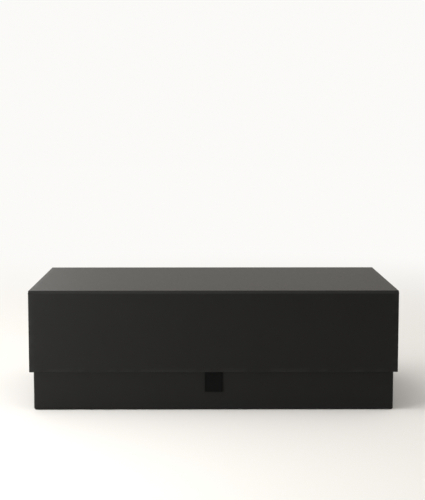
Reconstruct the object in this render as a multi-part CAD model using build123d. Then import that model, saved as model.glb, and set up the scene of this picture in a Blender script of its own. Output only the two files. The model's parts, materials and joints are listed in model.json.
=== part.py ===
from build123d import *
import os
from math import acos, atan2, cos, hypot, radians, sin

# Rigid gift box lying on its long side: a greyboard tray, a case of three boards (spine, top and
# flap) joined by its own covering paper, hidden magnets, a ribbon tab and a foam cradle.
# Frame: X along the length, -Y towards the flap, +Z up, origin on the table under the middle.
# All lengths are in millimetres.

# Sheet materials
board = 2.0             # greyboard of the tray, spine, top and flap
wrap = 0.2              # black covering paper
lining = 0.25           # black lining paper
stay_paper = 0.15       # gummed paper tape on the tray's corners
ribbon_paper = 0.3      # one thickness of the ribbon

# Tray, over its covering paper
tray_length = 336.0
tray_depth = 180.0
tray_height = 110.0
tray_fold_radius = 2.0  # board folded up at the foot
tray_corner_radius = 0.6
corner_seam = 0.1       # slit where a side wall butts against a long wall
turn_in = 15.0          # covering paper turned over the edge of a panel or under the tray
rim_turn_in = 18.0      # covering paper turned down inside the tray's rim
lining_setback = 2.5    # edge of a lining from the wrapped edge of its panel
rim_lining_setback = 3.0
stay_width = 18.0       # of the tape on each side of a corner
stay_end_gap = 6.0      # bare corner above and below a stay

# Case
side_overhang = 4.0     # top, flap and spine stand past the tray at each end
flap_drop = 73.6        # height of the flap board over its covering paper
flap_gap = 0.4          # between the flap's lining and the tray
lid_gap = 0.3           # between the top's lining and the tray's rim
spine_foot_gap = 1.0    # under the spine
panel_edge_round = 0.35
crease_lead = 0.1       # near board's edge past the far board's inner face
crease_gap = 0.2        # between the two linings inside a closed hinge
groove_depth = 0.1      # how far a hinge is pressed in past a straight bridge
hinge_depth = 0.75      # hinge axis under both outer faces

# Magnets
magnet_diameter = 14.0
magnet_thickness = 1.8
magnet_pocket_gap = 0.2
magnet_rise = 16.0      # centre above the flap's lower edge
magnet_end_distance = 62.0

# Ribbon tab
ribbon_width = 16.5
ribbon_hang = 19.0      # below the flap's lower edge
ribbon_side_gap = 0.2
ribbon_bend_drop = 0.9  # bend axis below the flap's lower edge
ribbon_bend_length = 0.6
ribbon_loop_radius = 0.6
ribbon_forward = 0.35   # loop's middle in front of its tail's middle

# Cradle of foam sheets, with two bays for a round body with a shoulder and a neck
bay_body_diameter = 76.0
bay_neck_diameter = 29.0
bay_play = 1.0          # between the thing carried and the foam, all round
bay_body_length = 184.0
bay_shoulder_length = 52.0
bay_end_wall = 13.0     # foam left standing beyond each end of a bay
bay_headroom = 3.3      # between the thing carried and the tray's rim
bay_base_round = 6.0
shoulder_share = 0.58   # of the shoulder's fall that the convex arc takes
neck_foam_thickness = 24.0
foam_play = 0.5         # between the foam and the tray's lining
finger_hole_diameter = 46.0
face_sheet_thickness = 0.4

# Worked out from the sizes above
panel_stack = wrap + board + wrap + lining
near_edge = wrap + board + crease_lead
far_edge = wrap + board + lining + crease_gap + lining
case_length = tray_length + 2 * side_overhang
overall_depth = panel_stack + flap_gap + tray_depth + panel_stack
overall_height = tray_height + lid_gap + panel_stack
front = -overall_depth / 2
back = overall_depth / 2
tray_front = front + panel_stack + flap_gap
tray_middle = tray_front + tray_depth / 2
flap_top = overall_height - far_edge
flap_foot = flap_top - flap_drop
spine_top = overall_height - near_edge
board_foot = lining + wrap                 # underside of the tray board
board_rim = tray_height - wrap
tray_board_length = tray_length - 2 * wrap
tray_board_depth = tray_depth - 2 * wrap
cavity_length = tray_board_length - 2 * board
cavity_depth = tray_board_depth - 2 * board
cavity_floor = board_foot + board
lining_floor = cavity_floor + lining
magnet_height = flap_foot + magnet_rise
magnet_end = case_length / 2 - magnet_end_distance
magnet_places = {"left": -magnet_end, "right": magnet_end}


def block(x_size, y_size, z_low, z_high, y_middle=0.0):
    """Upright block centred on x = 0 and on y_middle, between two heights."""
    return Pos(0, y_middle, (z_low + z_high) / 2) * Box(x_size, y_size, z_high - z_low)


def tray_block(shrink, z_low, z_high):
    """Block in the tray's place, smaller than the covered tray by shrink on each side."""
    return block(tray_length - 2 * shrink, tray_depth - 2 * shrink, z_low, z_high, tray_middle)


def along_x(section, length):
    """A section drawn in Y and Z, facing +X, carried along X half its length each way."""
    face = section.face()
    if face.normal_at().Z < 0:
        face = -face
    return extrude(Plane.YZ * face, amount=length / 2, both=True)


# Tray board and its paper
def tray_envelope(shrink, z_low, z_high):
    """Filled outside form of the tray, shrunk by a paper's thickness, with its folded foot rounded."""
    form = tray_block(shrink, z_low, z_high)
    form = fillet(form.edges().filter_by(Axis.Z), tray_corner_radius + wrap - shrink)
    return fillet(form.edges().group_by(Axis.Z)[0], tray_fold_radius + wrap - shrink)


def tray_cavity(shrink, z_low, z_high):
    """Inside of the tray board, shrunk by what lines it."""
    return block(cavity_length - 2 * shrink, cavity_depth - 2 * shrink, z_low, z_high, tray_middle)


def corner_stay(x_side, y_side):
    """L of tape round one upright corner of the tray, pressed flush into the board."""
    outside = tray_envelope(wrap, board_foot, board_rim)
    inside = tray_envelope(wrap + stay_paper, board_foot, board_rim)
    low = board_foot + tray_fold_radius + stay_end_gap
    high = board_rim - stay_end_gap
    x_place = x_side * (tray_board_length / 2 - stay_width / 2)
    y_place = tray_middle + y_side * (tray_board_depth / 2 - stay_width / 2)
    corner = Pos(x_place, y_place, (low + high) / 2) * Box(stay_width, stay_width, high - low)
    return (outside - inside) & corner


def make_tray_board(stays):
    """Floor and four walls, with butt seams at the corners, seats for the stays and punched magnet holes."""
    shell = tray_envelope(wrap, board_foot, board_rim) - tray_cavity(0, cavity_floor, board_rim + board)
    for stay in stays:
        shell -= stay
    seam_height = board_rim - cavity_floor
    for x_side in (-1, 1):
        for y_side in (-1, 1):
            x_place = x_side * (cavity_length / 2 + board / 2)
            y_place = tray_middle + y_side * (cavity_depth / 2 - corner_seam / 2)
            seam = Box(board - 2 * stay_paper, corner_seam, seam_height)
            shell -= Pos(x_place - x_side * stay_paper, y_place, cavity_floor + seam_height / 2) * seam
    for x_place in magnet_places.values():
        shell -= magnet_hole(x_place, tray_front + wrap)
    return shell


def make_tray_wrap():
    """One skin round the walls, over the rim and down inside it, and under the foot."""
    outside = tray_envelope(0, lining, tray_height)
    skin = outside - tray_envelope(wrap, board_foot, board_rim)
    skin -= tray_block(turn_in, 0, board_foot + wrap)
    skin -= tray_cavity(0, board_rim - wrap, tray_height + wrap)
    low = tray_height - rim_turn_in
    turned = tray_cavity(0, low, tray_height) - tray_cavity(wrap, low - wrap, tray_height + wrap)
    return skin + turned


def make_base_sheet():
    """Sheet under the tray: border on the turned-under wrap, middle pressed up to the board."""
    border = tray_block(lining_setback, 0, lining)
    middle = tray_block(turn_in, wrap, board_foot)
    hollow = tray_block(turn_in + lining, -lining, wrap)
    return border + middle - hollow


def make_tray_lining():
    """Lining of the floor and walls, stepping in over the wrap that is turned down inside the rim."""
    step = tray_height - rim_turn_in
    top = tray_height - rim_lining_setback
    outside = tray_cavity(0, cavity_floor, step) + tray_cavity(wrap, step - lining, top)
    lower_room = tray_cavity(lining, lining_floor, step - lining)
    upper_room = tray_cavity(wrap + lining, step - lining, top + lining)
    return outside - lower_room - upper_room


# Magnets
def magnet_hole(x_place, y_outer):
    """Round hole punched through a board whose outer face stands at y_outer."""
    radius = magnet_diameter / 2 + magnet_pocket_gap
    hole = Cylinder(radius, board, align=(Align.CENTER, Align.CENTER, Align.MIN))
    return Pos(x_place, y_outer, magnet_height) * Rot(X=-90) * hole


def magnet(x_place, y_outer):
    """Disc in that hole, against the paper over the outer face."""
    disc = Cylinder(magnet_diameter / 2, magnet_thickness, align=(Align.CENTER, Align.CENTER, Align.MIN))
    return Pos(x_place, y_outer, magnet_height) * Rot(X=-90) * disc


# Case panels, each made flat: outer face up at z = 0, hinged edge at y = 0, free edge at y = height
def panel_block(height, side, foot, z_low, z_high):
    """Flat block in a panel's place, short of its ends by side and of its free edge by foot."""
    length = case_length - 2 * side
    place = Pos(0, (height - foot) / 2, (z_low + z_high) / 2)
    return place * Box(length, height - foot, z_high - z_low)


def panel_board(height, foot_wrapped):
    """Greyboard of a panel, inside its covering paper."""
    return panel_block(height, wrap, wrap if foot_wrapped else 0, -wrap - board, -wrap)


def panel_wrap(height, foot_wrapped):
    """Covering paper of a panel, turned in round both ends and, at a free edge, round that edge."""
    foot = wrap if foot_wrapped else 0
    window_foot = turn_in if foot_wrapped else 0
    skin = panel_block(height, 0, 0, -wrap - board - wrap, 0)
    ends = skin.edges().filter_by(Axis.Y)
    rounded = ends + skin.edges().filter_by(Axis.X).group_by(Axis.Y)[-1] if foot_wrapped else ends
    skin = fillet(rounded, panel_edge_round)
    skin -= panel_block(height, wrap, foot, -wrap - board, -wrap)
    return skin - panel_block(height, turn_in, window_foot, -panel_stack, -wrap)


def panel_lining(height, foot_wrapped):
    """Lining of a panel: its border lies on the turned-in paper, its middle is pressed down to the board."""
    face = -wrap - board
    foot = lining_setback if foot_wrapped else 0
    window_foot = turn_in if foot_wrapped else 0
    inner_foot = turn_in + lining if foot_wrapped else 0
    border = panel_block(height, lining_setback, foot, face - wrap - lining, face - wrap)
    middle = panel_block(height, turn_in, window_foot, face - lining, face)
    hollow = panel_block(height, turn_in + lining, inner_foot, face - panel_stack, face - lining)
    return border + middle - hollow


top_height = overall_depth - near_edge - far_edge
top_plane = Plane(origin=(0, front + near_edge, overall_height), x_dir=(1, 0, 0), z_dir=(0, 0, 1))
flap_plane = Plane(origin=(0, front, flap_top), x_dir=(-1, 0, 0), z_dir=(0, -1, 0))
spine_plane = Plane(origin=(0, back, spine_top), x_dir=(1, 0, 0), z_dir=(0, 1, 0))
spine_height = spine_top - spine_foot_gap


# Paper hinges: a crease of the wrap bridges the two boards' edges, and a crease of the lining lies behind it
def crease_ends(outward, top_edge, drop, depth):
    """Ends of a crease at a depth under the outer skin: on the top panel, and on the hanging panel."""
    on_top = (outward * (overall_depth / 2 - top_edge), overall_height - depth)
    on_drop = (outward * (overall_depth / 2 - depth), overall_height - drop)
    return on_top, on_drop


def hinge_axis(outward):
    """Place of a hinge axis in the YZ plane."""
    return (outward * (overall_depth / 2 - hinge_depth), overall_height - hinge_depth)


def groove_radius(outward, top_edge, drop):
    """Distance of the hinge axis from the straight bridge, plus the depth that the groove is pressed in."""
    (y_a, z_a), (y_b, z_b) = crease_ends(outward, top_edge, drop, 0)
    y_c, z_c = hinge_axis(outward)
    area = abs((y_b - y_a) * (z_c - z_a) - (z_b - z_a) * (y_c - y_a))
    return area / hypot(y_b - y_a, z_b - z_a) + groove_depth


def tangent_angle(centre, radius, point, turn):
    """Angle at which a line from the point touches the circle, on the side given by turn."""
    dy = point[0] - centre[0]
    dz = point[1] - centre[1]
    return atan2(dz, dy) + turn * acos(radius / hypot(dy, dz))


def crease_path(outward, top_edge, drop, depth):
    """Line, arc round the hinge axis and line, from the top panel to the hanging panel."""
    centre = hinge_axis(outward)
    radius = groove_radius(outward, top_edge, drop) + depth
    on_top, on_drop = crease_ends(outward, top_edge, drop, depth)
    first = tangent_angle(centre, radius, on_top, outward)
    last = tangent_angle(centre, radius, on_drop, -outward)
    sweep = (last - first) * outward % radians(360)
    angles = (first, first + outward * sweep / 2, first + outward * sweep)
    touch = [(centre[0] + radius * cos(a), centre[1] + radius * sin(a)) for a in angles]
    return [Line(on_top, touch[0]), ThreePointArc(*touch), Line(touch[2], on_drop)]


def hinge_wrap(outward, top_edge, drop):
    """Crease of the covering paper."""
    outer = crease_path(outward, top_edge, drop, 0)
    inner = crease_path(outward, top_edge, drop, wrap)
    ends = [Line(outer[0] @ 0, inner[0] @ 0), Line(outer[2] @ 1, inner[2] @ 1)]
    section = make_face(outer + inner + ends)
    return along_x(section, case_length)


def hinge_lining(outward, top_edge, drop):
    """Crease of the lining: up the top board's edge, behind the wrap and in over the other edge."""
    outer = crease_path(outward, top_edge, drop, wrap)
    (y_top, z_top), (y_drop, z_drop) = crease_ends(outward, top_edge, drop, wrap)
    z_low = overall_height - wrap - board - lining
    y_in = outward * (overall_depth / 2 - wrap - board - lining)
    run = abs(y_drop - y_top)
    rise = z_top - z_drop
    behind = (lining + groove_depth) * hypot(run, rise)
    z_inner = z_top - (lining * rise + behind) / run
    y_inner = y_drop - outward * (lining * run + behind) / rise
    corners = [
        (y_drop, z_drop),
        (y_in, z_drop),
        (y_in, z_drop + lining),
        (y_inner, z_drop + lining),
        (y_top + outward * lining, z_inner),
        (y_top + outward * lining, z_low),
        (y_top, z_low),
        (y_top, z_top),
    ]
    section = make_face(outer + [Polyline(*corners)])
    return along_x(section, case_length - 2 * lining_setback)


# Ribbon tab: a ribbon folded double, glued between the flap's board and its lining
tail_back = front + wrap + board + wrap
tail_front = tail_back - 2 * ribbon_paper
tail_middle = (tail_back + tail_front) / 2
bend_height = flap_foot - ribbon_bend_drop
bend_foot = bend_height - ribbon_bend_length
loop_middle = tail_middle - ribbon_forward


def ribbon_slot():
    """Seat pressed into the flap's board and turned-in paper for the ribbon's tail."""
    width = ribbon_width + 2 * ribbon_side_gap
    return block(width, tail_back - tail_front, flap_foot - wrap, flap_foot + turn_in, tail_middle)


def ribbon_tail():
    """Glued part of the ribbon, as long as the paper turned in behind it."""
    top = flap_foot + turn_in - ribbon_side_gap
    return block(ribbon_width, tail_back - tail_front, flap_foot, top, tail_middle)


def ribbon_bend():
    """Short stretch that bends when the tab is lifted."""
    return block(ribbon_width, tail_back - tail_front, bend_foot, flap_foot, tail_middle)


def teardrop(radius, half_top):
    """YZ section of a hanging loop: narrow at the bend and round at the foot."""
    z_round = flap_foot - ribbon_hang + ribbon_loop_radius
    left_foot = (loop_middle - radius, z_round)
    right_foot = (loop_middle + radius, z_round)
    left_top = (tail_middle - half_top, bend_foot)
    right_top = (tail_middle + half_top, bend_foot)
    sides = [Line(left_top, left_foot), Line(right_foot, right_top), Line(right_top, left_top)]
    return make_face(sides + [ThreePointArc(left_foot, (loop_middle, z_round - radius), right_foot)])


def ribbon_loop():
    """Hanging loop: front leg, round fold and back leg, one band of ribbon."""
    outer = teardrop(ribbon_loop_radius, ribbon_paper)
    inner_radius = ribbon_loop_radius - ribbon_paper
    z_round = flap_foot - ribbon_hang + ribbon_loop_radius
    z_split = bend_foot - ribbon_bend_length
    tip = ((tail_middle + loop_middle) / 2, z_split)
    left = (loop_middle - inner_radius, z_round)
    right = (loop_middle + inner_radius, z_round)
    fold = ThreePointArc(left, (loop_middle, z_round - inner_radius), right)
    room = make_face([Line(tip, left), fold, Line(right, tip)])
    return along_x(outer - room, ribbon_width)


# Cradle
cradle_length = cavity_length - 2 * lining - 2 * foam_play
cradle_depth = cavity_depth - 2 * lining - 2 * foam_play
base_foam_thickness = tray_height - bay_headroom - bay_body_diameter - lining_floor
body_foam_thickness = (bay_body_diameter - bay_neck_diameter) / 2
body_foam_foot = lining_floor + base_foam_thickness
neck_foam_foot = body_foam_foot + body_foam_thickness
face_sheet_foot = neck_foam_foot + neck_foam_thickness
bay_half_body = bay_body_diameter / 2 + bay_play
bay_half_neck = bay_neck_diameter / 2 + bay_play
bay_web = (cradle_depth - 4 * bay_half_body) / 3
bay_offset = bay_half_body + bay_web / 2
bay_length = cradle_length - 2 * bay_end_wall


def bay_outline(with_neck):
    """Outline of one bay along X: rounded base, straight body, S-shaped shoulder and, if asked, the neck."""
    base = -bay_length / 2
    shoulder = base + bay_body_length
    neck = shoulder + bay_shoulder_length
    fall = bay_half_body - bay_half_neck
    middle = (shoulder + shoulder_share * bay_shoulder_length, bay_half_body - shoulder_share * fall)
    end = bay_length / 2 if with_neck else neck
    body_line = Line((base + bay_base_round, bay_half_body), (shoulder, bay_half_body))
    convex = TangentArc((shoulder, bay_half_body), middle, tangent=(1, 0))
    concave = TangentArc(middle, (neck, bay_half_neck), tangent=convex % 1)
    corner = TangentArc((base, bay_half_body - bay_base_round), body_line @ 0, tangent=(0, 1))
    edges = [body_line, convex, concave, corner, Line((base, bay_half_body - bay_base_round), (base, 0))]
    if with_neck:
        edges.append(Line((neck, bay_half_neck), (end, bay_half_neck)))
    edges += [Line((end, bay_half_neck), (end, 0)), Line((end, 0), (base, 0))]
    half = make_face(edges)
    return half + mirror(half, about=Plane.XZ)


def foam_sheet(low, thickness, with_neck=None):
    """Foam sheet that fills the tray's plan, with both bays punched through it where asked."""
    plan = Rectangle(cradle_length, cradle_depth)
    if with_neck is not None:
        for side in (-1, 1):
            plan -= Pos(0, side * bay_offset) * bay_outline(with_neck)
        plan -= Pos(-bay_length / 2 + bay_body_length / 2, 0) * Circle(finger_hole_diameter / 2)
    return Pos(0, tray_middle, low) * extrude(plan, amount=thickness)


stays = {
    "front_left": corner_stay(-1, -1),
    "front_right": corner_stay(1, -1),
    "back_left": corner_stay(-1, 1),
    "back_right": corner_stay(1, 1),
}

nodes = {
    "tray_board": make_tray_board(stays.values()),
    "tray_wrap": make_tray_wrap(),
    "tray_base_sheet": make_base_sheet(),
    "tray_lining": make_tray_lining(),
    "cradle_base_foam": foam_sheet(lining_floor, base_foam_thickness),
    "cradle_body_foam": foam_sheet(body_foam_foot, body_foam_thickness, with_neck=False),
    "cradle_neck_foam": foam_sheet(neck_foam_foot, neck_foam_thickness, with_neck=True),
    "cradle_face_sheet": foam_sheet(face_sheet_foot, face_sheet_thickness, with_neck=True),
    "spine_board": spine_plane * panel_board(spine_height, True),
    "spine_wrap": spine_plane * panel_wrap(spine_height, True),
    "spine_lining": spine_plane * panel_lining(spine_height, True),
    "back_hinge_wrap": hinge_wrap(1, far_edge, near_edge),
    "back_hinge_lining": hinge_lining(1, far_edge, near_edge),
    "top_board": top_plane * panel_board(top_height, False),
    "top_wrap": top_plane * panel_wrap(top_height, False),
    "top_lining": top_plane * panel_lining(top_height, False),
    "front_hinge_wrap": hinge_wrap(-1, near_edge, far_edge),
    "front_hinge_lining": hinge_lining(-1, near_edge, far_edge),
    "flap_board": flap_plane * panel_board(flap_drop, True) - ribbon_slot(),
    "flap_wrap": flap_plane * panel_wrap(flap_drop, True) - ribbon_slot(),
    "flap_lining": flap_plane * panel_lining(flap_drop, True),
    "ribbon_tail": ribbon_tail(),
    "ribbon_bend": ribbon_bend(),
    "ribbon_loop": ribbon_loop(),
}
for place, stay in stays.items():
    nodes["tray_corner_stay_" + place] = stay
for side, x_place in magnet_places.items():
    nodes["flap_board"] -= magnet_hole(x_place, front + wrap)
    nodes["flap_magnet_" + side] = magnet(x_place, front + wrap)
    nodes["tray_magnet_" + side] = magnet(x_place, tray_front + wrap)

os.makedirs("parts", exist_ok=True)
for name, shape in nodes.items():
    export_step(shape, "parts/" + name + ".step")
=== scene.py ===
import json
from math import radians

import bmesh
import bpy
import numpy as np
from bpy.props import FloatProperty, FloatVectorProperty, PointerProperty
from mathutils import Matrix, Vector
from mathutils.geometry import tessellate_polygon


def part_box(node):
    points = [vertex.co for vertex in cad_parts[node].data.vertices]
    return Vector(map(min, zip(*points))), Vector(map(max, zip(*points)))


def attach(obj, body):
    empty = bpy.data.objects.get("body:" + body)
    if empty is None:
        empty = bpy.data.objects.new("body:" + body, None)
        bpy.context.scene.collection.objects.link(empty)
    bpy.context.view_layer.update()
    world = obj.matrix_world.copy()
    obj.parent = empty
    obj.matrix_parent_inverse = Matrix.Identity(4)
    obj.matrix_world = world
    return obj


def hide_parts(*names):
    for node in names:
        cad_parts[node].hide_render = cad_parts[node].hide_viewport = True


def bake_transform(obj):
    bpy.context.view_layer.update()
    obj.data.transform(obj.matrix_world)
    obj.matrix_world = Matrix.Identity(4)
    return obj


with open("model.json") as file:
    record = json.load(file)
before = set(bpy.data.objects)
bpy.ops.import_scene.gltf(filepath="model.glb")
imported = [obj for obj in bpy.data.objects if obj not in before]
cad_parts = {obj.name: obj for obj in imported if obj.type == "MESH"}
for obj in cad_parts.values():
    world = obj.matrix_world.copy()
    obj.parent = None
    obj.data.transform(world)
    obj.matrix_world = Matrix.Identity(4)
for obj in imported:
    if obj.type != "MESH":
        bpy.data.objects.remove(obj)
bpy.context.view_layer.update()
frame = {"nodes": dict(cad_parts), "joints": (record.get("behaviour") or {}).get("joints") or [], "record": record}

bl_info = {
    "name": "Rigid gift box",
    "version": (1, 0, 0),
    "blender": (4, 5, 0),
    "location": "View3D > Sidebar > Gift box",
    "description": "Dresses the packed gift box: papers, paper hinges, ribbon tab, foam cradle and stage",
    "category": "Object",
}

MM = 0.001


# Sizes read from the frame, in metres
def low(node, axis):
    """Lowest place of a node along an axis."""
    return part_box(node)[0][axis]


def high(node, axis):
    """Highest place of a node along an axis."""
    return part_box(node)[1][axis]


X, Y, Z = 0, 1, 2
case_end = high("top_wrap", X)      # half the case's length
case_top = high("top_wrap", Z)      # outer face of the top
case_front = low("flap_wrap", Y)    # outer face of the flap
case_back = high("spine_wrap", Y)   # outer face of the spine
hinge = {j["name"]: j for j in frame["joints"]}

HINGE_PRESS = 0.12 * MM     # how far a hinge's paper is pressed in past a straight bridge
FOLD_WEAR = 0.35 * MM       # reach of the wear on each side of a fold
RIM_WEAR = 0.6 * MM         # reach of the wear down from the tray's rim
TRAY_CORNER = 0.6 * MM      # radius of the tray's upright corners
TRAY_FOOT = 2.2 * MM        # radius where the board is folded up
RIBBON_FORWARD = 0.35 * MM  # the loop's foot in front of its tail
RIBBON_LOOP = 0.45 * MM     # largest radius of the loop's middle line
RIBBON_NARROWING = 0.02     # share of its width that the ribbon loses at the foot
RIBBON_PRESSED = 0.96       # share of its thickness, so that its two layers lie close and don't touch
SELVEDGE_AND_SHADE = (6.6 * MM, 7.0 * MM)     # from the ribbon's middle: where the darker edge starts and where it is full; a denser selvedge with painted shade along the edges
HINGE_WEAR_AND_HIGHLIGHT = 0.9            # how pale the hinge's crease is painted: crease wear with a painted highlight for the light that the upward-facing band catches, matched to the pale band in the photo
FACE_ROUND = 0.15 * MM      # rounding of the flocked sheet's cut edges

# Stage, matched to the photo: lengths in metres, power in watts, camera angles in degrees
LAMPS = (
    ("side_softbox", (-1.2, -0.2, 0.7), 0.4, 4.1),
    ("low_side_softbox", (-0.9, -0.25, 0.3), 0.3, 2.3),
    ("near_side_softbox", (-0.5, -0.55, 0.13), 0.15, 2.3),
    ("overhead_softbox", (-0.3, -0.2, 1.4), 0.9, 4.5),
    ("rear_softbox", (0.0, 1.3, 0.8), 0.8, 0.6),
    ("rear_side_softbox", (-0.6, 1.2, 0.7), 0.6, 2.1),
)
CAMERA_PLACE = (-0.00847, -1.2125, 0.26976)
CAMERA_DOWN, CAMERA_RIGHT = 6.051, 0.377
CAMERA_LENS, CAMERA_SENSOR = 103.38, 36.0
FLOOR_HALF = 6.0                    # half the floor's length
FLOOR_DROP = 0.05 * MM              # floor under the box
FLOOR_NEAR, FLOOR_FAR = 0.35, 1.3   # where the floor starts to fade into the backdrop, and where it has
BACKDROP_SEEN = 0.98                # strength of the white backdrop, where 1 is white
GLOSS_FRONT, GLOSS_BEHIND = 0.1, 0.9    # the room in front and the backdrop behind, as a gloss meets them
GLOSS_TURN = (-0.2, 0.7)            # how far back a ray points where the one starts to give way, and where it has
FILL = 0.62                         # soft light from all round


def linear(hex_colour):
    """sRGB hex to linear light: c / 12.92 up to 0.04045, above it ((c + 0.055) / 1.055) to the power 2.4."""
    c = np.array([int(hex_colour[i:i + 2], 16) for i in (1, 3, 5)]) / 255
    return tuple(float(v) for v in np.where(c <= 0.04045, c / 12.92, ((c + 0.055) / 1.055) ** 2.4))


# Values that a user would change
class GiftBoxSizes(bpy.types.PropertyGroup):
    """Sizes of the papers, ribbon and foam that are modelled here."""
    paper: FloatProperty(name="Covering paper", description="Thickness of the black covering paper",
                         default=0.2 * MM, unit="LENGTH")
    lining: FloatProperty(name="Lining paper", description="Thickness of the lining paper",
                          default=0.25 * MM, unit="LENGTH")
    turn_in: FloatProperty(name="Turn-in", description="Paper turned round an edge on to the inner face",
                           default=15 * MM, unit="LENGTH")
    rim_turn_in: FloatProperty(name="Rim turn-in", description="Paper turned down inside the tray's rim",
                               default=18 * MM, unit="LENGTH")
    edge_round: FloatProperty(name="Edge rounding", description="Radius of the paper round a board's edge",
                              default=0.5 * MM, unit="LENGTH")
    ribbon: FloatProperty(name="Ribbon", description="Thickness of the ribbon", default=0.3 * MM, unit="LENGTH")
    foam_round: FloatProperty(name="Foam edge", description="Softness of the foam's cut edges",
                              default=0.8 * MM, unit="LENGTH")


class GiftBoxBays(bpy.types.PropertyGroup):
    """Sizes of the two bays punched in the foam."""
    bay_body: FloatProperty(name="Body", description="Width of the body that a bay carries", default=76 * MM,
                            unit="LENGTH")
    bay_neck: FloatProperty(name="Neck", description="Width of the neck that a bay carries", default=29 * MM,
                            unit="LENGTH")
    bay_play: FloatProperty(name="Play", description="Room round what a bay carries", default=1 * MM, unit="LENGTH")
    bay_length: FloatProperty(name="Length", description="Length of a bay", default=304.1 * MM, unit="LENGTH")
    bay_body_length: FloatProperty(name="Body length", description="Straight part of a bay", default=184 * MM,
                                   unit="LENGTH")
    bay_shoulder_length: FloatProperty(name="Shoulder length", description="Length over which a bay narrows",
                                       default=52 * MM, unit="LENGTH")
    shoulder_share: FloatProperty(name="Shoulder share", description="Part of the fall taken by the first arc",
                                  default=0.58, subtype="FACTOR")
    bay_round: FloatProperty(name="Base rounding", description="Radius of a bay's base corners", default=6 * MM,
                             unit="LENGTH")
    finger_hole: FloatProperty(name="Finger hole", description="Round hole across the wall between the bays",
                               default=46 * MM, unit="LENGTH")


class GiftBoxColours(bpy.types.PropertyGroup):
    """Colours of the real materials."""
    wrap: FloatVectorProperty(name="Covering paper", description="Matte laminated black paper", subtype="COLOR",
                              default=linear("#151514"))
    lining: FloatVectorProperty(name="Lining paper", description="Uncoated black paper", subtype="COLOR",
                                default=linear("#171716"))
    board: FloatVectorProperty(name="Greyboard", description="Recycled greyboard", subtype="COLOR",
                               default=linear("#8b867c"))
    tape: FloatVectorProperty(name="Gummed tape", description="Brown gummed paper tape", subtype="COLOR",
                              default=linear("#a5875d"))
    nickel: FloatVectorProperty(name="Nickel", description="Nickel plating of the magnets", subtype="COLOR",
                                default=linear("#c5c0b4"))
    foam: FloatVectorProperty(name="Foam", description="Black closed-cell foam", subtype="COLOR",
                              default=linear("#1b1b1c"))
    flock: FloatVectorProperty(name="Flocked face", description="Black flocked sheet", subtype="COLOR",
                               default=linear("#161617"))
    ribbon: FloatVectorProperty(name="Ribbon", description="Black woven ribbon", subtype="COLOR",
                                default=linear("#080808"))
    floor: FloatVectorProperty(name="Floor", description="Pale studio floor", subtype="COLOR",
                               default=linear("#f4f2ee"))


# Nodes and materials
def add_node(tree, kind, inputs=(), **settings):
    """Adds one node: settings go on the node itself, inputs on its sockets, and an output given there is linked."""
    made = tree.nodes.new(kind)
    for key, value in settings.items():
        setattr(made, key, value)
    for key, value in dict(inputs).items():
        if isinstance(value, bpy.types.NodeSocket):
            tree.links.new(value, made.inputs[key])
        else:
            made.inputs[key].default_value = value
    return made


def new_material(name):
    """An empty node material."""
    material = bpy.data.materials.new(name)
    material.use_nodes = True
    material.node_tree.nodes.clear()
    return material, material.node_tree


def rgba(colour, factor=1.0):
    """A colour with its alpha, brightened by a factor."""
    return tuple(min(1.0, c * factor) for c in colour) + (1.0,)


def surface_place(tree, attribute):
    """Where a pattern lies: on the piece's own attribute if one is named, else on Object coordinates."""
    if attribute:
        return add_node(tree, "ShaderNodeAttribute", attribute_name=attribute).outputs["Vector"]
    return add_node(tree, "ShaderNodeTexCoord").outputs["Object"]


def colour_mix(tree, factor, first, second):
    """Mixes two colours by a factor; each is a value or the output of another node."""
    return add_node(tree, "ShaderNodeMix", {0: factor, 6: first, 7: second}, data_type="RGBA").outputs[2]


def remap(tree, value, from_low, from_high, to_low, to_high, **settings):
    """Maps a value from one range to another and holds it at both ends."""
    return add_node(tree, "ShaderNodeMapRange", {0: value, 1: from_low, 2: from_high, 3: to_low, 4: to_high},
                    **settings).outputs[0]


def maths(tree, operation, *values):
    """One step of arithmetic."""
    return add_node(tree, "ShaderNodeMath", dict(enumerate(values)), operation=operation).outputs[0]


def noise(tree, place, size, detail):
    """Cloudy noise whose features are about size wide, in metres."""
    return add_node(tree, "ShaderNodeTexNoise", {"Vector": place, "Scale": 1 / size, "Detail": detail}).outputs["Fac"]


def cells(tree, place, size):
    """Distance from the middle of cells that are about size wide, in metres."""
    return add_node(tree, "ShaderNodeTexVoronoi", {"Vector": place, "Scale": 1 / size}).outputs["Distance"]


def relief(tree, height, strength, depth):
    """Normal of a relief that is depth deep, in metres."""
    return add_node(tree, "ShaderNodeBump", {"Height": height, "Strength": strength, "Distance": depth}).outputs[0]


def shaded(material, tree, sockets):
    """Ends a material with its shader."""
    shader = add_node(tree, "ShaderNodeBsdfPrincipled", sockets)
    add_node(tree, "ShaderNodeOutputMaterial", {"Surface": shader.outputs[0]})
    return material


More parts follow.
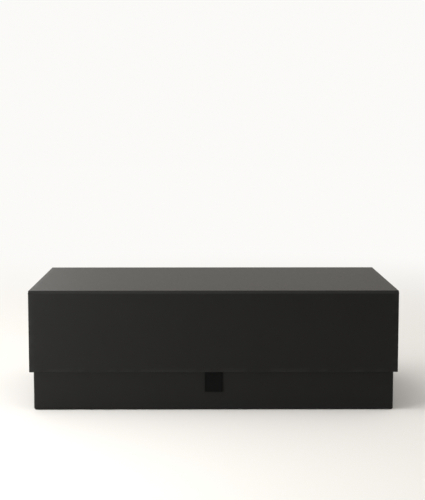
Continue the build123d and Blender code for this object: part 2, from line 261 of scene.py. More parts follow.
def paper_material(name, colour, roughness, tooth, attribute=None, wear_and_highlight=0.35):
    """Calendered paper: felt-side tooth a few tenths of a millimetre wide, drawn at about 1 mm so that it shows,
    cloudy density 20 to 40 mm wide, and paler along folds from the attribute "fold": wear on the edges, and on the
    hinges crease wear with a painted highlight for the light that their upward-facing band catches. The IOR, about
    1.5 for such a film, was lowered until the dark front matched the photo, and the colour of the wear was matched
    too."""
    material, tree = new_material(name)
    place = surface_place(tree, attribute)
    fibres = noise(tree, place, 1.1 * MM, 2.0)
    clouds = noise(tree, place, 30 * MM, 3.0)
    fold = add_node(tree, "ShaderNodeAttribute", attribute_name="fold").outputs["Fac"]
    shade = colour_mix(tree, clouds, rgba(colour, 0.9), rgba(colour, 1.1))
    grain = colour_mix(tree, remap(tree, fibres, 0.3, 0.7, 0.0, 0.16), shade, rgba(colour, 1.7))
    # Paler along folds: wear on the edges, and on the hinges also a painted highlight for the light the band catches.
    edge = colour_mix(tree, maths(tree, "MULTIPLY", fold, wear_and_highlight), grain, rgba(colour, 2.6))
    return shaded(material, tree, {"Base Color": edge, "IOR": 1.25, "Normal": relief(tree, fibres, tooth, 0.03 * MM),
                                   "Roughness": remap(tree, fibres, 0.3, 0.7, roughness - 0.04, roughness + 0.04)})


def greyboard_material(colour):
    """Greyboard: pulp pressed from waste paper, with dark flecks 1 to 2 mm long."""
    material, tree = new_material("greyboard")
    place = surface_place(tree, None)
    pulp = noise(tree, place, 2 * MM, 5.0)
    base = colour_mix(tree, pulp, rgba(colour, 0.8), rgba(colour, 1.15))
    spots = remap(tree, cells(tree, place, 1.6 * MM), 0.05, 0.3, 0.45, 0.0)
    return shaded(material, tree, {"Base Color": colour_mix(tree, spots, base, rgba(colour, 0.45)), "Roughness": 0.9,
                                   "IOR": 1.45, "Normal": relief(tree, pulp, 0.4, 0.1 * MM)})


def foam_material(colour):
    """Closed-cell foam, skived and punched: cells about 0.4 mm across, drawn at 0.9 mm, dull, paler on the raised
    cell walls and darker in the cell pits as painted highlight and shade that follow the relief.
    """
    material, tree = new_material("closed_cell_foam")
    place = surface_place(tree, None)
    distance = cells(tree, place, 0.9 * MM)
    clouds = noise(tree, place, 12 * MM, 3.0)
    # Darker cell pits and paler cell walls: painted shade and highlight that follow the relief.
    base = colour_mix(tree, remap(tree, distance, 0.2, 0.7, 0.0, 1.0), rgba(colour, 0.7), rgba(colour, 1.6))
    return shaded(material, tree, {"Base Color": colour_mix(tree, clouds, base, rgba(colour, 1.2)), "Roughness": 0.85,
                                   "IOR": 1.4, "Normal": relief(tree, distance, 0.5, 0.2 * MM)})


def flock_material(colour):
    """Flocked sheet: short nylon pile blown on to glue, deep black with a soft sheen at glancing angles."""
    material, tree = new_material("flocked_sheet")
    place = surface_place(tree, None)
    pile = noise(tree, place, 0.8 * MM, 2.0)
    brushed = noise(tree, place, 25 * MM, 2.0)
    tone = colour_mix(tree, brushed, rgba(colour, 0.75), rgba(colour, 1.4))
    return shaded(material, tree, {"Base Color": tone, "Roughness": 0.95, "IOR": 1.4, "Sheen Weight": 0.15,
                                   "Sheen Roughness": 0.5, "Normal": relief(tree, pile, 0.5, 0.2 * MM)})


def ribbon_material(colour):
    """Woven polyester ribbon: ribs across its width every 0.6 mm, drawn at 0.9 mm, painted darker in their troughs
    and paler on their crests as painted shade and highlight, and a darker edge, a denser selvedge with painted shade
    along the ribbon's edges. The IOR, about 1.57 for polyester, was lowered until the tab matched the photo."""
    material, tree = new_material("woven_ribbon")
    place = add_node(tree, "ShaderNodeUVMap", uv_map="weave").outputs["UV"]
    across, along, _ = add_node(tree, "ShaderNodeSeparateXYZ", {0: place}).outputs
    ribs = maths(tree, "SINE", maths(tree, "MULTIPLY", along, 2 * np.pi / (0.9 * MM)))
    # Darker edge: a denser selvedge, with painted shade along the ribbon's edges.
    selvedge_and_shade = remap(tree, maths(tree, "ABSOLUTE", across), *SELVEDGE_AND_SHADE, 0.0, 1.0)
    # Ribs painted darker in their troughs and paler on their crests: painted shade and highlight that follow the
    # relief.
    tone = colour_mix(tree, remap(tree, ribs, -1.0, 1.0, 0.0, 1.0), rgba(colour, 0.7), rgba(colour, 1.3))
    edge = colour_mix(tree, selvedge_and_shade, tone, rgba(colour, 0.6))
    return shaded(material, tree, {"Base Color": edge, "Roughness": 0.8, "IOR": 1.2,
                                   "Normal": relief(tree, ribs, 0.4, 0.08 * MM)})


def tape_material(colour):
    """Gummed kraft tape: brown machine-made paper, streaked along its length."""
    material, tree = new_material("gummed_kraft_tape")
    place = surface_place(tree, None)
    stretched = add_node(tree, "ShaderNodeMapping", {"Vector": place, "Scale": (1.0, 1.0, 0.12)}).outputs[0]
    fibres = noise(tree, stretched, 1.0 * MM, 4.0)
    tone = colour_mix(tree, fibres, rgba(colour, 0.75), rgba(colour, 1.2))
    return shaded(material, tree, {"Base Color": tone, "Roughness": 0.6, "IOR": 1.5})


def nickel_material(colour):
    """Bright nickel plating, barrel-finished: a soft shine with fine scuffs."""
    material, tree = new_material("nickel_plating")
    scuffs = noise(tree, surface_place(tree, None), 0.8 * MM, 6.0)
    tone = colour_mix(tree, scuffs, rgba(colour, 0.9), rgba(colour))
    return shaded(material, tree, {"Base Color": tone, "Metallic": 1.0,
                                   "Roughness": remap(tree, scuffs, 0.3, 0.7, 0.2, 0.34)})


# Meshes from numpy
def grid_quads(rows, columns, close_columns=False):
    """Corner numbers of the quads of a grid whose points are numbered row by row."""
    across = columns if close_columns else columns - 1
    r, c = np.meshgrid(np.arange(rows - 1), np.arange(across), indexing="ij")
    n = (c + 1) % columns
    near, far = r * columns, (r + 1) * columns
    return np.stack([near + c, near + n, far + n, far + c], -1).reshape(-1, 4)


def cap_quads(half, first):
    """Quads that close the end of a strip whose section runs out along one side and back along the other."""
    i = np.arange(half - 1)
    return np.stack([i, 2 * half - 1 - i, 2 * half - 2 - i, i + 1], -1) + first


def capped_quads(rows, columns):
    """Quads of a closed section carried over a row of places, with a cap at both ends."""
    half, last = columns // 2, (rows - 1) * columns
    return np.concatenate([grid_quads(rows, columns, close_columns=True), cap_quads(half, 0),
                           cap_quads(half, last)[:, ::-1]])


def swept(section, along, axis=X):
    """A section of two coordinates carried along the third axis: one row of points for each place along it."""
    points = np.empty((len(along), len(section), 3))
    points[..., axis] = along[:, None]
    points[..., [other for other in (X, Y, Z) if other != axis]] = section
    return points


def cut_edges_sharp(mesh):
    """Marks the cut edges of an open sheet sharp, so that its face keeps its own normals right up to them."""
    edge = np.zeros(len(mesh.loops), int)
    mesh.loops.foreach_get("edge_index", edge)
    sharp = np.zeros(len(mesh.edges), bool)
    mesh.edges.foreach_get("use_edge_sharp", sharp)
    mesh.edges.foreach_set("use_edge_sharp", sharp | (np.bincount(edge, minlength=len(mesh.edges)) == 1))


def make_piece(name, parts, material, thickness=0.0, flip=False):
    """One mesh from parts, each a (points, faces, fold) triple, welded where they meet; thickness grows inwards."""
    points, faces, folds, start = [], [], [], 0
    for part_points, part_faces, part_fold in parts:
        flat = np.asarray(part_points, float).reshape(-1, 3)
        points.append(flat)
        faces += ((part_faces[:, ::-1] if flip else part_faces) + start).tolist()
        folds.append(np.asarray(part_fold, float).reshape(-1))
        start += len(flat)
    points = np.concatenate(points)
    mesh = bpy.data.meshes.new(name)
    mesh.from_pydata(points, [], faces)
    fold = mesh.attributes.new("fold", "FLOAT", "POINT")
    fold.data.foreach_set("value", np.concatenate(folds).astype(np.float32))
    rest = mesh.attributes.new("rest_place", "FLOAT_VECTOR", "POINT")
    rest.data.foreach_set("vector", points.astype(np.float32).reshape(-1))
    work = bmesh.new()
    work.from_mesh(mesh)
    bmesh.ops.remove_doubles(work, verts=work.verts, dist=1e-6)
    bmesh.ops.dissolve_degenerate(work, edges=work.edges, dist=1e-7)
    work.to_mesh(mesh)
    work.free()
    mesh.shade_smooth()
    mesh.set_sharp_from_angle(angle=radians(40))
    cut_edges_sharp(mesh)
    mesh.materials.append(material)
    piece = bpy.data.objects.new(name, mesh)
    bpy.context.scene.collection.objects.link(piece)
    if thickness:
        solid = piece.modifiers.new("paper thickness", "SOLIDIFY")
        solid.thickness = thickness
        solid.offset = -1.0
        solid.use_even_offset = True
    return piece


def quarter(radius, steps=6):
    """Sine and cosine of a quarter turn times the radius, from 0 to 90 degrees."""
    angle = np.linspace(0, np.pi / 2, steps)
    return radius * np.sin(angle), radius * np.cos(angle)


def edge_profile(thickness, radius, turn):
    """Paper round a board's edge, as (outward, depth): a quarter round, the edge, a quarter round and the turn-in."""
    s, c = quarter(radius)
    straight = np.linspace(0, radius - turn, 7)[1:]
    outward = np.concatenate([s, c, straight])
    depth = np.concatenate([radius - c, thickness - radius + s, np.full(6, thickness)])
    return outward, depth


def ring(x_steps, y_steps, fan=6, whole=True):
    """Path round a rectangle in unit coordinates (u, v) with its outward directions; a corner is a fan of
    directions at one point. Not whole: only the half with v above 0, from the left side's start to the right's."""
    quarter_turn = np.linspace(0, np.pi / 2, fan)
    ys = np.linspace(-1 if whole else 0, 1, y_steps)
    xs = np.linspace(-1, 1, x_steps)
    u, v, angle = [], [], []

    def add(us, vs, angles):
        """Adds one side or one corner to the path."""
        u.append(np.broadcast_to(us, np.shape(angles)))
        v.append(np.broadcast_to(vs, np.shape(angles)))
        angle.append(angles)

    add(-1.0, ys[:-1] if not whole else ys[1:-1], np.full(len(ys) - (1 if not whole else 2), np.pi))
    add(-1.0, 1.0, np.pi - quarter_turn)
    add(xs[1:-1], 1.0, np.full(x_steps - 2, np.pi / 2))
    add(1.0, 1.0, np.pi / 2 - quarter_turn)
    add(1.0, ys[::-1][1:] if not whole else ys[::-1][1:-1], np.zeros(len(ys) - (1 if not whole else 2)))
    if whole:
        add(1.0, -1.0, -quarter_turn)
        add(xs[::-1][1:-1], -1.0, np.full(x_steps - 2, -np.pi / 2))
        add(-1.0, -1.0, -np.pi / 2 - quarter_turn)
    u, v, angle = (np.concatenate([np.atleast_1d(a) for a in part]) for part in (u, v, angle))
    return u, v, np.cos(angle), np.sin(angle)


def carried(path, half_x, half_y, outward):
    """Plan points of a ring moved outward: inside the rectangle it shrinks with mitred corners, outside it grows
    with round ones. Rows follow outward, columns follow the ring."""
    u, v, nx, ny = path
    inside = np.minimum(outward, 0)[:, None]
    beyond = np.maximum(outward, 0)[:, None]
    return u * (half_x + inside) + nx * beyond, v * (half_y + inside) + ny * beyond


def fold_weight(depth, thickness):
    """1 at the two folds of an edge and 0 a millimetre away from them."""
    return np.exp(-(np.minimum(np.abs(depth), np.abs(depth - thickness)) / FOLD_WEAR) ** 2)


def placed(local, origin, x_dir, y_dir):
    """Panel coordinates to the row frame: x and y along the panel, z out of its face."""
    x_dir, y_dir = np.array(x_dir, float), np.array(y_dir, float)
    axes = np.stack([x_dir, y_dir, np.cross(x_dir, y_dir)])
    return local @ axes + np.array(origin, float)


def face_grid(half_x, y_low, y_high, x_steps, y_steps):
    """The outer face as a flat grid in panel coordinates."""
    x, y = np.meshgrid(np.linspace(-half_x, half_x, x_steps), np.linspace(y_low, y_high, y_steps))
    return np.stack([x, y, np.zeros_like(x)], -1)


def covered_panel(name, half_x, height, thickness, sizes, material, place):
    """Covering paper of a panel with one free edge: the outer face, then the edge profile carried round three
    sides, with mitred turn-ins behind."""
    r = sizes.edge_round
    x_steps, y_steps = 60, 20
    inner_x, inner_y = half_x - r, height - r
    face = face_grid(inner_x, 0, inner_y, x_steps, y_steps)
    path = ring(x_steps, y_steps, whole=False)
    outward, depth = edge_profile(thickness, r, sizes.turn_in)
    x, y = carried(path, inner_x, inner_y, outward)
    border = np.stack([x, y, np.broadcast_to(-depth[:, None], x.shape)], -1)
    weight = np.broadcast_to(fold_weight(depth, thickness)[:, None], x.shape)
    parts = [
        (placed(face, *place), grid_quads(y_steps, x_steps), np.zeros(face.shape[:2])),
        (placed(border, *place), grid_quads(*x.shape), weight),
    ]
    return make_piece(name, parts, material, sizes.paper)


def strip_panel(name, half_x, height, thickness, sizes, material, place):
    """Covering paper of a panel hinged along both long edges: one section carried along Y, turned in at both ends."""
    r = sizes.edge_round
    outward, depth = edge_profile(thickness, r, sizes.turn_in)
    right = np.stack([half_x - r + outward, -depth], -1)
    left = np.stack([-right[::-1, 0], right[::-1, 1]], -1)
    middle = np.stack([np.linspace(-(half_x - r), half_x - r, 60)[1:-1], np.zeros(58)], -1)
    section = np.concatenate([left, middle, right])
    weight = np.where(np.abs(section[:, 0]) > half_x - 2 * r, fold_weight(-section[:, 1], thickness), 0)
    local = swept(section, np.linspace(0, height, 40), Y)
    weight = np.broadcast_to(weight, local.shape[:2])
    quads = grid_quads(*local.shape[:2])
    return make_piece(name, [(placed(local, *place), quads, weight)], material, sizes.paper)


# Hinges
def bridge(outward, depth, hinge_name):
    """Section of a paper hinge in YZ at a depth under its outer skin: from the top panel's edge to the hanging
    panel's edge, a straight run sagging towards the hinge axis as a sine squared."""
    axis_y, axis_z = hinge[hinge_name]["pos_m"][1:]
    top_y = low("top_wrap", Y) if outward < 0 else high("top_wrap", Y)
    hang = "flap_wrap" if outward < 0 else "spine_wrap"
    start = np.array([top_y, case_top - depth])
    side = case_front if outward < 0 else case_back
    end = np.array([side - outward * depth, high(hang, Z)])
    t = np.linspace(0, 1, 17)[:, None]
    line = start + (end - start) * t
    run = end - start
    normal = np.array([run[1], -run[0]]) / np.hypot(*run)
    if normal @ (np.array([axis_y, axis_z]) - start) < 0:
        normal = -normal
    return line + normal * HINGE_PRESS * np.sin(np.pi * t) ** 2


def hinge_strip(name, outward, depth, thickness, half_x, material, hinge_name, bodies, stands_for):
    """A paper hinge: its section carried along X as a closed strip and baked in place, paler along its crease as the
    root of a sine: crease wear, and on the outer paper a painted highlight for the light that the upward-facing band
    catches."""
    outer = bridge(outward, depth, hinge_name)
    inner = bridge(outward, depth + thickness, hinge_name)
    points = swept(np.concatenate([outer, inner[::-1]]), np.linspace(-half_x, half_x, 80))
    # Crease weight: wear, and on the outer paper a painted highlight for the light the upward-facing band catches.
    crease = np.sin(np.pi * np.linspace(0, 1, len(outer))) ** 0.5
    crease_wear_and_highlight = np.broadcast_to(np.concatenate([crease, crease[::-1]]), points.shape[:2])
    piece = make_piece(name, [(points, capped_quads(*points.shape[:2]), crease_wear_and_highlight)], material, flip=outward > 0)
    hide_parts(stands_for)
    start = (0.0, *outer[-1])
    end = (0.0, *outer[0])
    if bodies[0] == "lid":
        start, end = end, start
    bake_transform(piece)
    return piece


def edge_liner(name, outward, sizes, on_top, half_x, material, body, node):
    """Lining paper on a board's hinged edge: a thin strip along X. On top: the upright edge of the top board.
    Otherwise: the upper edge of the hanging board."""
    t, depth = sizes.lining, sizes.paper
    if on_top:
        y = low("top_wrap", Y) if outward < 0 else high("top_wrap", Y)
        ends = np.array([(y, low("top_board", Z)), (y, case_top - depth - t)])
        away = np.array([outward * t, 0.0])
    else:
        hang = "flap" if outward < 0 else "spine"
        inner = high(hang + "_lining", Y) if outward < 0 else low(hang + "_lining", Y)
        side = (case_front if outward < 0 else case_back) - outward * (depth + t)
        ends = np.array([(inner, high(hang + "_wrap", Z)), (side, high(hang + "_wrap", Z))])
        away = np.array([0.0, t])
    along = np.linspace(0, 1, 6)[:, None]
    near = ends[0] + (ends[1] - ends[0]) * along
    section = np.concatenate([near, (near + away)[::-1]])
    if area(section) < 0:
        section = section[::-1]
    points = swept(section, np.linspace(-half_x, half_x, 40))
    size = points.shape[:2]
    piece = make_piece(name, [(points, capped_quads(*size), np.zeros(size))], material)
    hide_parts(node)
    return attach(piece, body)


# Foam cradle
def arc(start, end, heading, steps=14):
    """Arc from start, which it leaves along heading, to end: it turns twice the angle from heading to the chord."""
    start, end = np.array(start, float), np.array(end, float)
    turn = 2 * (np.arctan2(*(end - start)[::-1]) - heading)
    radius = np.hypot(*(end - start)) / (2 * np.sin(turn / 2))
    angle = heading + np.linspace(0, turn, steps)
    centre = start + radius * np.array([-np.sin(heading), np.cos(heading)])
    return centre + radius * np.stack([np.sin(angle), -np.cos(angle)], -1), angle[-1]


def bay_side(bay, with_neck):
    """One side of a bay from its base to its far end, about the bay's own middle line: a rounded base corner, a
    straight body, two arcs that share the shoulder's fall, and the neck."""
    half_body, half_neck = bay.bay_body / 2 + bay.bay_play, bay.bay_neck / 2 + bay.bay_play
    base = -bay.bay_length / 2
    shoulder = base + bay.bay_body_length
    neck = shoulder + bay.bay_shoulder_length
    share = bay.shoulder_share
    middle = (shoulder + share * (neck - shoulder), half_body - share * (half_body - half_neck))
    corner, heading = arc((base, half_body - bay.bay_round), (base + bay.bay_round, half_body), np.pi / 2)
    convex, heading = arc((shoulder, half_body), middle, 0.0)
    concave, heading = arc(middle, (neck, half_neck), heading)
    end = [(bay.bay_length / 2, half_neck)] if with_neck else []
    return np.concatenate([corner, convex, concave[1:]] + ([np.array(end)] if end else []))


def cradle_hole(bay, offset, with_neck):
    """Outline of both bays joined by the finger hole: out along one side of each bay and back along the other,
    with the wall between them cut away where the round hole crosses it."""
    side = bay_side(bay, with_neck)
    middle = -bay.bay_length / 2 + bay.bay_body_length / 2
    wall = offset - bay.bay_body / 2 - bay.bay_play
    reach = np.sqrt((bay.finger_hole / 2) ** 2 - wall ** 2)
    outer = side + (0, offset)
    inner = side * (1, -1) + (0, offset)
    near = np.concatenate([inner[inner[:, 0] < middle - reach], [(middle - reach, wall)]])
    far = np.concatenate([[(middle + reach, wall)], inner[inner[:, 0] > middle + reach]])
    y = np.linspace(wall, -wall, 9)[1:-1]
    left = np.stack([middle - np.sqrt((bay.finger_hole / 2) ** 2 - y ** 2), y], -1)
    right = np.stack([middle + np.sqrt((bay.finger_hole / 2) ** 2 - y ** 2), -y], -1)
    back = np.concatenate([far, outer[::-1], near])
    return np.concatenate([back, left, (back * (1, -1))[::-1], right])


def area(loop):
    """Signed area of an outline, positive if it runs counterclockwise."""
    x, y = loop.T
    return (x * np.roll(y, -1) - np.roll(x, -1) * y).sum() / 2


def mitred(loop):
    """Directions to the right of an outline, mitred at its corners: (n1 + n2) / (1 + n1 . n2)."""
    run = np.roll(loop, -1, axis=0) - loop
    right = np.stack([run[:, 1], -run[:, 0]], -1) / np.hypot(*run.T)[:, None]
    before = np.roll(right, 1, axis=0)
    return (before + right) / (1 + (before * right).sum(1))[:, None]


def punched_sheet(name, outer, holes, bottom, top, rounding, material):
    """A sheet with holes punched through it: a wall profile with rounded edges carried round each outline, and
    two flat faces stretched between the outlines."""
    loops = [outer if area(outer) > 0 else outer[::-1]] + [h if area(h) < 0 else h[::-1] for h in holes]
    s, c = quarter(rounding, 5)
    inset = np.concatenate([rounding - s, rounding - c])
    height = np.concatenate([bottom + rounding - c, top - rounding + s])
    walls, caps = [], [[], []]
    for loop in loops:
        out = mitred(loop)
        plan = loop[None] - out[None] * inset[:, None, None]
        points = np.concatenate([plan, np.broadcast_to(height[:, None, None], plan.shape[:2] + (1,))], -1)
        walls.append((points, grid_quads(*plan.shape[:2], close_columns=True), np.zeros(plan.shape[:2])))
        caps[0].append(points[0])
        caps[1].append(points[-1])
    flat = np.concatenate(caps[1])
    corners = np.array(tessellate_polygon([[tuple(p) for p in loop] for loop in caps[1]]))
    a, b, d = (flat[corners[:, k], :2] for k in range(3))
    side = np.cross(b - a, d - a)
    corners = np.where(side[:, None] < 0, corners[:, ::-1], corners)
    faces = [(np.concatenate(caps[0]), corners[:, ::-1], np.zeros(len(flat))), (flat, corners, np.zeros(len(flat)))]
    return make_piece(name, walls + faces, material)


# Operators
class GIFTBOX_OT_stage(bpy.types.Operator):
    """Makes the floor, the world, the lamps and the camera"""
    bl_idname = "giftbox.stage"
    bl_label = "Stage"

    def execute(self, context):
        colours = context.scene.gift_box_colours
        material, tree = new_material("studio_floor")
        place = surface_place(tree, None)
        away = add_node(tree, "ShaderNodeVectorMath", {0: place}, operation="LENGTH")
        far = remap(tree, away.outputs["Value"], FLOOR_NEAR, FLOOR_FAR, 0.0, 1.0, interpolation_type="SMOOTHSTEP")
        white = maths(tree, "MULTIPLY", far, background_rays(tree))
        dull = add_node(tree, "ShaderNodeBsdfDiffuse", {"Color": rgba(colours.floor)})
        glow = add_node(tree, "ShaderNodeEmission", {"Color": rgba(linear("#fbfaf8"))})
        mix = add_node(tree, "ShaderNodeMixShader", {0: white, 1: dull.outputs[0], 2: glow.outputs[0]})
        add_node(tree, "ShaderNodeOutputMaterial", {"Surface": mix.outputs[0]})
        side = np.linspace(-FLOOR_HALF, FLOOR_HALF, 13)
        x, y = np.meshgrid(side, side)
        plane = np.stack([x, y, np.full_like(x, -FLOOR_DROP)], -1)
        floor = make_piece("studio_floor", [(plane, grid_quads(13, 13), np.zeros(x.shape))], material)
        make_world()
        for name, place, size, power in LAMPS:
            lamp(name, place, size, power)
        camera = bpy.data.objects.new("camera", bpy.data.cameras.new("camera"))
        camera.data.sensor_fit = "HORIZONTAL"
        camera.data.sensor_width = CAMERA_SENSOR
        camera.data.lens = CAMERA_LENS
        camera.data.clip_start = 0.05
        camera.location = CAMERA_PLACE
        camera.rotation_euler = (radians(90 - CAMERA_DOWN), 0.0, radians(-CAMERA_RIGHT))
        context.scene.collection.objects.link(camera)
        context.scene.camera = camera
        context.scene.view_settings.view_transform = "Standard"
        return {"FINISHED"}


def background_rays(tree):
    """1 for rays that see the background: from the camera, off a gloss and through glass."""
    path = add_node(tree, "ShaderNodeLightPath").outputs
    seen = maths(tree, "MAXIMUM", path["Is Camera Ray"], path["Is Glossy Ray"])
    return maths(tree, "MAXIMUM", seen, path["Is Transmission Ray"])


def make_world():
    """Soft fill for the object. Camera and transmission rays meet the white backdrop all round. Rays off a gloss meet
    it behind the box and a dim room in front, which keeps the dark front 3 to 5 levels of 255 darker."""
    world = bpy.data.worlds.new("studio")
    bpy.context.scene.world = world
    world.use_nodes = True
    tree = world.node_tree
    tree.nodes.clear()
    toward = add_node(tree, "ShaderNodeSeparateXYZ", {0: add_node(tree, "ShaderNodeTexCoord").outputs["Generated"]})
    behind = remap(tree, toward.outputs[1], *GLOSS_TURN, GLOSS_FRONT, GLOSS_BEHIND)
    path = add_node(tree, "ShaderNodeLightPath").outputs
    direct = maths(tree, "MAXIMUM", path["Is Camera Ray"], path["Is Transmission Ray"])
    level = add_node(tree, "ShaderNodeMix", {0: direct, 2: behind, 3: BACKDROP_SEEN})
    tint = colour_mix(tree, direct, rgba(linear("#fff9ef")), rgba(linear("#fdfcfa")))
    backdrop = add_node(tree, "ShaderNodeBackground", {"Color": tint, "Strength": level.outputs[0]})
    fill = add_node(tree, "ShaderNodeBackground", {"Color": rgba(linear("#fffcf9")), "Strength": FILL})
    mix = add_node(tree, "ShaderNodeMixShader", {0: background_rays(tree), 1: fill.outputs[0],
                                                 2: backdrop.outputs[0]})
    add_node(tree, "ShaderNodeOutputWorld", {"Surface": mix.outputs[0]})


def lamp(name, place, size, power):
    """A square softbox that faces the box's middle."""
    data = bpy.data.lights.new(name, "AREA")
    data.size = size
    data.energy = power
    made = bpy.data.objects.new(name, data)
    made.location = place
    made.visible_camera = False
    middle = Vector((0.0, 0.0, case_top / 2))
    made.rotation_euler = (middle - made.location).to_track_quat("-Z", "Y").to_euler()
    bpy.context.scene.collection.objects.link(made)


class GIFTBOX_OT_case_papers(bpy.types.Operator):
    """Covers the top, the flap and the spine with paper turned in round their edges"""
    bl_idname = "giftbox.case_papers"
    bl_label = "Case papers"

    def execute(self, context):
        sizes, colours = context.scene.gift_box_sizes, context.scene.gift_box_colours
        paper = paper_material("matte_laminated_paper", colours.wrap, roughness=0.5, tooth=0.25)
        thick = high("top_wrap", Z) - low("top_wrap", Z)
        top = strip_panel("top_paper", case_end, high("top_wrap", Y) - low("top_wrap", Y), thick, sizes, paper,
                          ((0, low("top_wrap", Y), case_top), (1, 0, 0), (0, 1, 0)))
        flap = covered_panel("flap_paper", case_end, high("flap_wrap", Z) - low("flap_wrap", Z), thick, sizes, paper,
                             ((0, case_front, high("flap_wrap", Z)), (-1, 0, 0), (0, 0, -1)))
        spine = covered_panel("spine_paper", case_end, high("spine_wrap", Z) - low("spine_wrap", Z), thick, sizes,
                              paper, ((0, case_back, high("spine_wrap", Z)), (1, 0, 0), (0, 0, -1)))
        for piece, node, body in ((top, "top_wrap", "lid"), (flap, "flap_wrap", "flap"),
                                  (spine, "spine_wrap", "root")):
            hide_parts(node)
            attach(piece, body)
        return {"FINISHED"}


class GIFTBOX_OT_tray_paper(bpy.types.Operator):
    """Covers the tray: one upright profile carried round its four walls"""
    bl_idname = "giftbox.tray_paper"
    bl_label = "Tray paper"

    def execute(self, context):
        sizes = context.scene.gift_box_sizes
        paper = bpy.data.materials["matte_laminated_paper"]
        lo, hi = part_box("tray_wrap")
        wall = low("tray_lining", X) - lo.x + sizes.paper
        corner, foot_round, rim_round = TRAY_CORNER, TRAY_FOOT, sizes.edge_round
        half_x, half_y = (hi.x - lo.x) / 2 - corner, (hi.y - lo.y) / 2 - corner
        s, c = quarter(foot_round, 8)
        rs, rc = quarter(rim_round)
        outward = np.concatenate([np.linspace(corner - sizes.turn_in, corner - foot_round, 6)[:-1],
                                  corner - foot_round + s, np.full(12, corner), corner - rim_round + rc,
                                  corner - wall + rim_round - rs, np.full(6, corner - wall)])
        height = np.concatenate([np.full(5, lo.z), lo.z + foot_round - c,
                                 np.linspace(lo.z + foot_round, hi.z - rim_round, 14)[1:-1],
                                 hi.z - rim_round + rs, hi.z - rim_round + rc,
                                 np.linspace(hi.z - rim_round, hi.z - sizes.rim_turn_in, 7)[1:]])
        path = ring(80, 40)
        x, y = carried(path, half_x, half_y, outward)
        middle = (hi + lo) / 2
        points = np.stack([x + middle.x, y + middle.y, np.broadcast_to(height[:, None], x.shape)], -1)
        at_edges = np.abs(outward - corner + wall / 2) > wall / 2 - rim_round
        rim = np.exp(-((hi.z - height) / RIM_WEAR) ** 2) * at_edges
        weight = np.broadcast_to(rim[:, None], x.shape)
        quads = grid_quads(*x.shape, close_columns=True)
        piece = make_piece("tray_paper", [(points, quads, weight)], paper, sizes.paper)
        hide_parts("tray_wrap")
        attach(piece, "root")
        return {"FINISHED"}


class GIFTBOX_OT_paper_hinges(bpy.types.Operator):
    """Makes the pressed paper hinges of the top's two long edges"""
    bl_idname = "giftbox.paper_hinges"
    bl_label = "Paper hinges"

    def execute(self, context):
        sizes, colours = context.scene.gift_box_sizes, context.scene.gift_box_colours
        # The outer hinge paper is paler along its crease: crease wear with a painted highlight for the light the
        # upward-facing band catches.
        outer = paper_material("matte_laminated_paper_hinge", colours.wrap, roughness=0.5, tooth=0.25,
                               attribute="rest_place", wear_and_highlight=HINGE_WEAR_AND_HIGHLIGHT)
        inner = paper_material("lining_paper_hinge", colours.lining, roughness=0.62, tooth=0.35,
                               attribute="rest_place")
        lining_end = high("top_lining", X)
        for outward, name, bodies in ((1, "lid_hinge", ("root", "lid")), (-1, "flap_hinge", ("lid", "flap"))):
            where = "back" if outward > 0 else "front"
            piece = hinge_strip(where + "_hinge_paper", outward, 0.0, sizes.paper, case_end, outer, name,
                                bodies, where + "_hinge_wrap")
            piece = hinge_strip(where + "_hinge_liner", outward, sizes.paper, sizes.lining, lining_end, inner, name,
                                bodies, where + "_hinge_lining")
            hanging = bodies[1] if outward < 0 else bodies[0]
            for on_top, part, body in ((True, "top_edge", "lid"), (False, "hanging_edge", hanging)):
                edge_liner(where + "_" + part + "_liner", outward, sizes, on_top, lining_end, inner, body,
                           where + "_hinge_lining")
        return {"FINISHED"}


class GIFTBOX_OT_ribbon_tab(bpy.types.Operator):
    """Makes the ribbon tab: one band folded double, its tail glued in the flap"""
    bl_idname = "giftbox.ribbon_tab"
    bl_label = "Ribbon tab"

    def execute(self, context):
        sizes, colours = context.scene.gift_box_sizes, context.scene.gift_box_colours
        t = sizes.ribbon
        tail_lo, tail_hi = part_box("ribbon_tail")
        loop_lo, loop_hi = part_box("ribbon_loop")
        line = ribbon_line((tail_lo.y + tail_hi.y) / 2, loop_hi.y, (tail_hi.z, tail_lo.z, loop_lo.z), t)
        length = np.concatenate([[0], np.cumsum(np.hypot(*np.diff(line, axis=0).T))])
        tangent = np.gradient(line, length, axis=0)
        normal = np.stack([tangent[:, 1], -tangent[:, 0]], -1)
        normal /= np.linalg.norm(normal, axis=1)[:, None]
        half = tail_hi.x
        across = np.linspace(-half, half, 15)
        narrow = 1 - RIBBON_NARROWING * np.clip((tail_lo.z - line[:, 1]) / (tail_lo.z - loop_lo.z), 0, 1)
        centre = (tail_lo.x + tail_hi.x) / 2
        sides = []
        for offset in (t / 2, -t / 2):
            section = line + normal * offset * RIBBON_PRESSED
            sides.append(np.stack([centre + across[None, :] * narrow[:, None],
                                   np.broadcast_to(section[:, :1], (len(line), 15)),
                                   np.broadcast_to(section[:, 1:], (len(line), 15))], -1))
        loop = np.concatenate([sides[0], sides[1][:, ::-1]], axis=1)
        size = loop.shape[:2]
        piece = make_piece("ribbon_tab", [(loop, capped_quads(*size), np.zeros(size))],
                           ribbon_material(colours.ribbon), flip=True)
        weave_uv(piece, line, length)
        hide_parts("ribbon_tail", "ribbon_bend", "ribbon_loop")
        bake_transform(piece)
        return {"FINISHED"}


